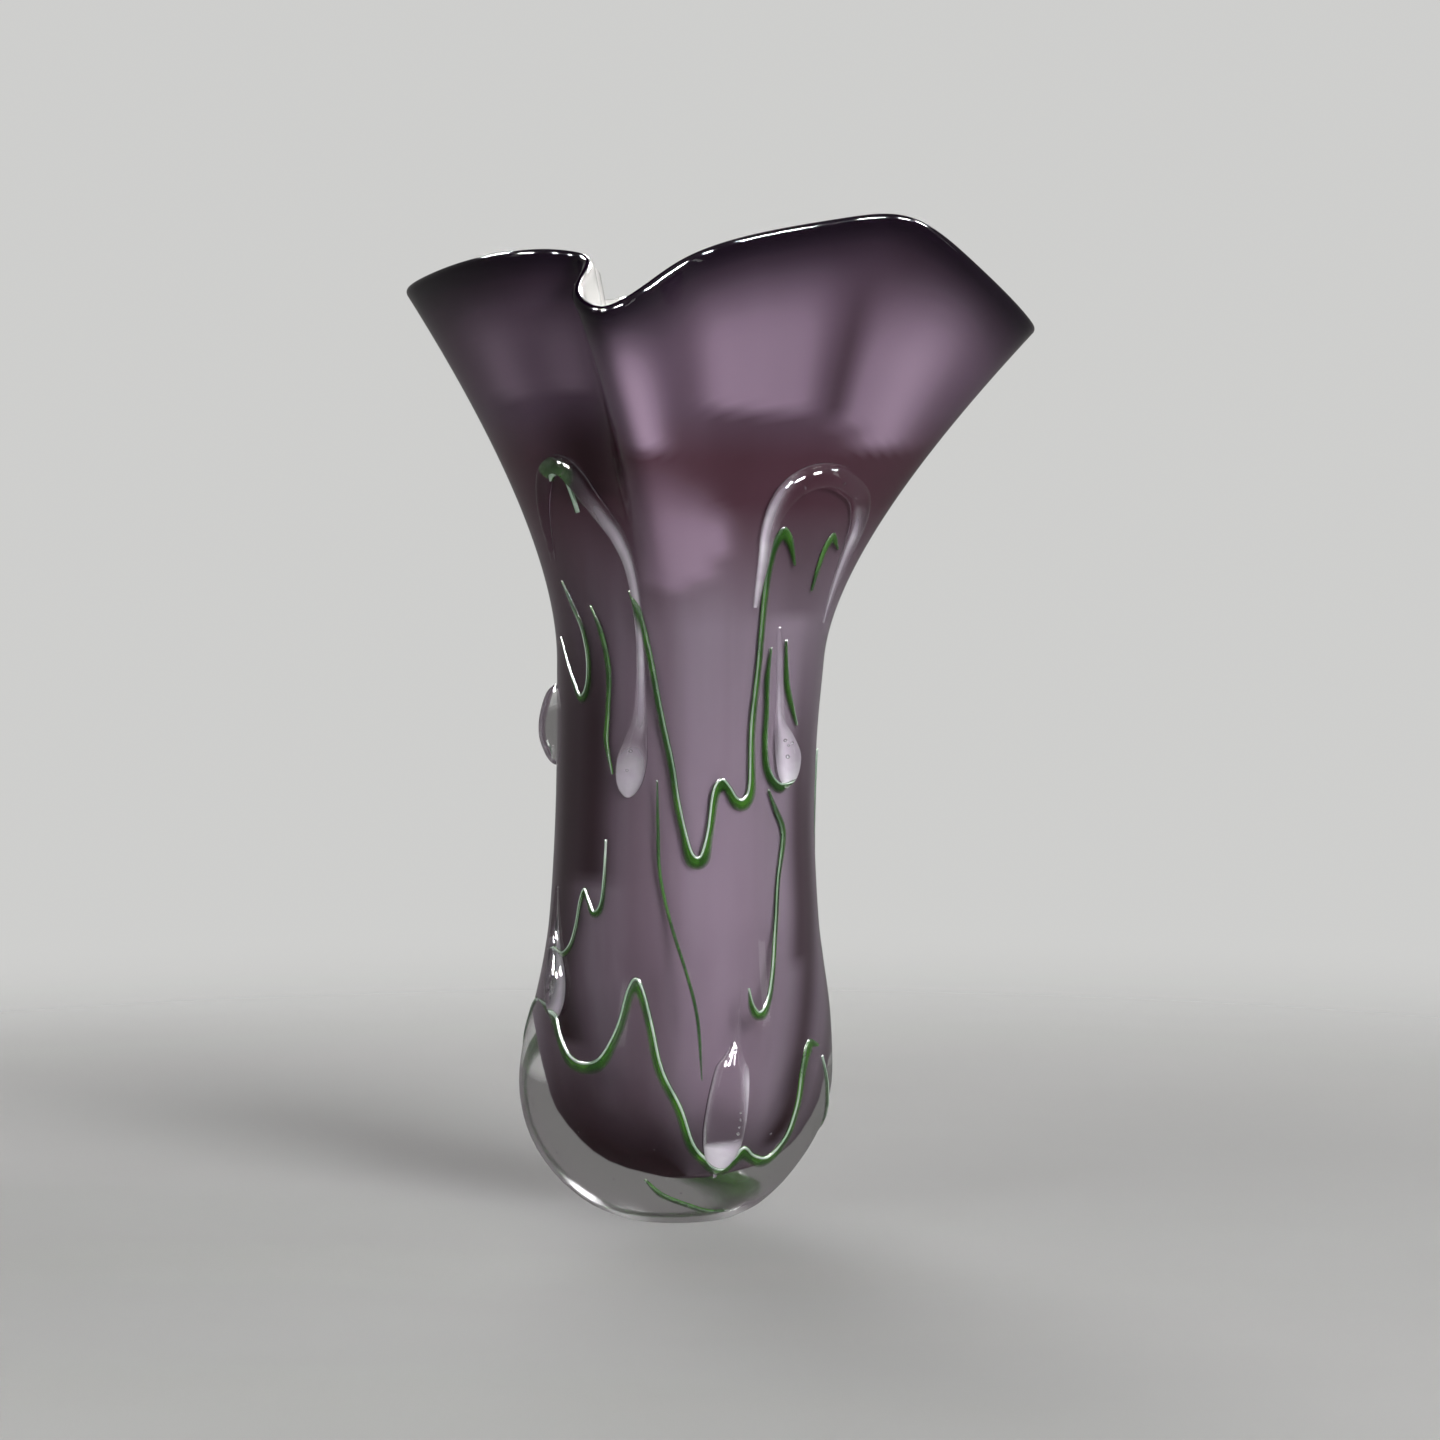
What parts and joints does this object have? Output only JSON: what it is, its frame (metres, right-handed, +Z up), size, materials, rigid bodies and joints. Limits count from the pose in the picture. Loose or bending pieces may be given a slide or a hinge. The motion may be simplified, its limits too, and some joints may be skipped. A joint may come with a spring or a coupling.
{
  "type": "art glass vase",
  "caption": "Hand blown cased glass vase: ruffled flared lip, heavy clear foot, applied clear arches and drops, green and white threads. Holds cut flowers or stands as decoration.",
  "frame": {"origin": "centre of the flat ground base, on the surface that the vase stands on", "axes": "+Z up, out of the mouth; -Y is the front, with the shown notch in the lip; +X is the side of the wider, lower lip tip"},
  "size_m": [0.2227, 0.2035, 0.355],
  "materials": {
    "clear_glass": "clear, fire polished",
    "clear_trail_glass": "clear, fire polished, applied hot",
    "amethyst_glass": "translucent amethyst, cased in clear glass",
    "opal_white_glass": "opal white, glossy inside",
    "green_thread_glass": "transparent green, glossy",
    "white_core_glass": "opaque mint white, glossy"
  },
  "bodies": {
    "root": {"amethyst_overlay": "amethyst_glass", "back_drop_trail": "clear_trail_glass", "back_left_arch_trail": "clear_trail_glass", "back_left_v_green_thread": "green_thread_glass", "back_left_v_white_core": "white_core_glass", "back_long_v_green_thread": "green_thread_glass", "back_long_v_white_core": "white_core_glass", "back_low_drop": "clear_trail_glass", "back_right_arch_trail": "clear_trail_glass", "back_right_v_green_thread": "green_thread_glass", "back_right_v_white_core": "white_core_glass", "back_wave_green_thread": "green_thread_glass", "back_wave_white_core": "white_core_glass", "base_drop": "clear_trail_glass", "centre_faint_green_thread": "green_thread_glass", "centre_faint_white_core": "white_core_glass", "clear_casing": "clear_glass", "foot_end_green_thread": "green_thread_glass", "foot_end_white_core": "white_core_glass", "foot_wave_green_thread": "green_thread_glass", "foot_wave_white_core": "white_core_glass", "left_arch_trail": "clear_trail_glass", "left_drop_green_thread": "green_thread_glass", "left_drop_white_core": "white_core_glass", "left_hairpin_green_thread": "green_thread_glass", "left_hairpin_white_core": "white_core_glass", "left_hook_green_thread": "green_thread_glass", "left_hook_white_core": "white_core_glass", "left_low_green_thread": "green_thread_glass", "left_low_white_core": "white_core_glass", "long_v_green_thread": "green_thread_glass", "long_v_white_core": "white_core_glass", "low_left_drop": "clear_trail_glass", "opal_liner": "opal_white_glass", "right_arch_trail": "clear_trail_glass", "right_drop_green_thread": "green_thread_glass", "right_drop_trail": "clear_trail_glass", "right_drop_white_core": "white_core_glass", "right_inner_green_thread": "green_thread_glass", "right_inner_white_core": "white_core_glass", "right_low_green_thread": "green_thread_glass", "right_low_white_core": "white_core_glass", "right_u_green_thread": "green_thread_glass", "right_u_white_core": "white_core_glass", "side_bead": "clear_trail_glass"}
  },
  "joints": []
}
